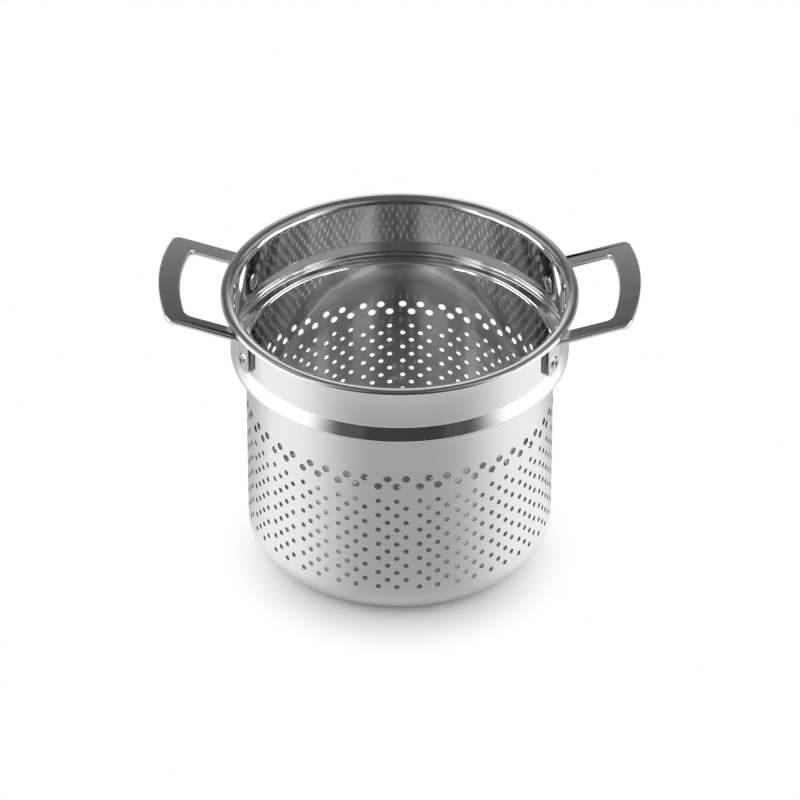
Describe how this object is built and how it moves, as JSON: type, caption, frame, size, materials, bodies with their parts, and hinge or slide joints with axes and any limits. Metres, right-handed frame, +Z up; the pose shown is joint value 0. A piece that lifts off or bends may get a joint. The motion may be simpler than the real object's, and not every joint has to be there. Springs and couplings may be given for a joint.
{
  "type": "pasta pot strainer insert",
  "caption": "Deep perforated steel strainer insert with a stepped seat collar, rolled rim and two riveted loop handles.",
  "frame": {"origin": "middle of the base's underside", "axes": "+Z up along the basket's axis, +X towards the right handle"},
  "size_m": [0.351, 0.2614, 0.2257],
  "materials": {
    "brushed_steel": "satin",
    "polished_steel": "polished"
  },
  "bodies": {
    "root": {"basket": "brushed_steel", "handle_left": "polished_steel", "handle_right": "polished_steel", "rivet_left_front": "polished_steel", "rivet_left_back": "polished_steel", "rivet_right_front": "polished_steel", "rivet_right_back": "polished_steel"}
  },
  "joints": []
}
